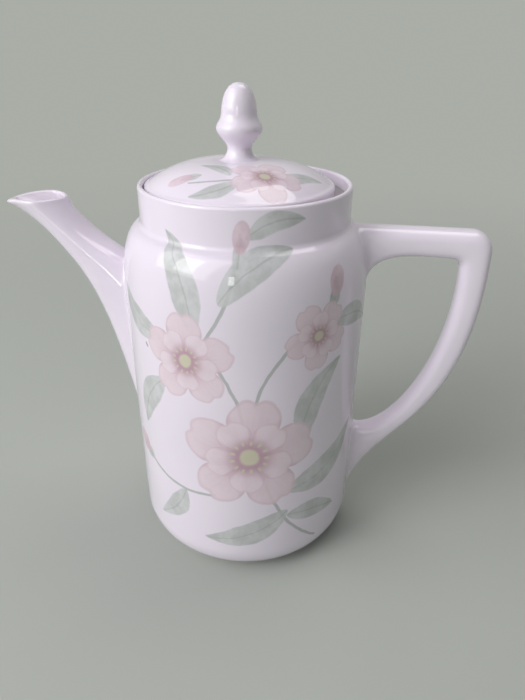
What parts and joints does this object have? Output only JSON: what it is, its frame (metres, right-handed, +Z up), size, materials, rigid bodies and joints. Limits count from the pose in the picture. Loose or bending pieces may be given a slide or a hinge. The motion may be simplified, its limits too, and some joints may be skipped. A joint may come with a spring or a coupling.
{
  "type": "coffee pot",
  "caption": "Tall porcelain coffee pot with a slender beaked spout, a cornered loop handle and a recessed domed lid with an acorn knob.",
  "frame": {"origin": "on the pot's axis, in the plane of the foot ring's lower face", "axes": "+Z up along the pot's axis, -X towards the spout's tip, +X towards the handle"},
  "size_m": [0.2065, 0.1042, 0.2059],
  "materials": {
    "glazed_porcelain": "glossy white glaze with a faint lilac cast",
    "bare_porcelain": "unglazed, fine and matt"
  },
  "bodies": {
    "pot": {"pot_body": "glazed_porcelain", "foot_ring": "bare_porcelain", "spout": "glazed_porcelain", "handle": "glazed_porcelain"},
    "lid": {"lid": "glazed_porcelain", "lid_flange": "bare_porcelain", "knob": "glazed_porcelain"}
  },
  "joints": [
    {"name": "lid_lift", "type": "slide", "parent": "pot", "child": "lid", "axis": [0, 0, 1], "range_m": [0, 0.06]}
  ]
}
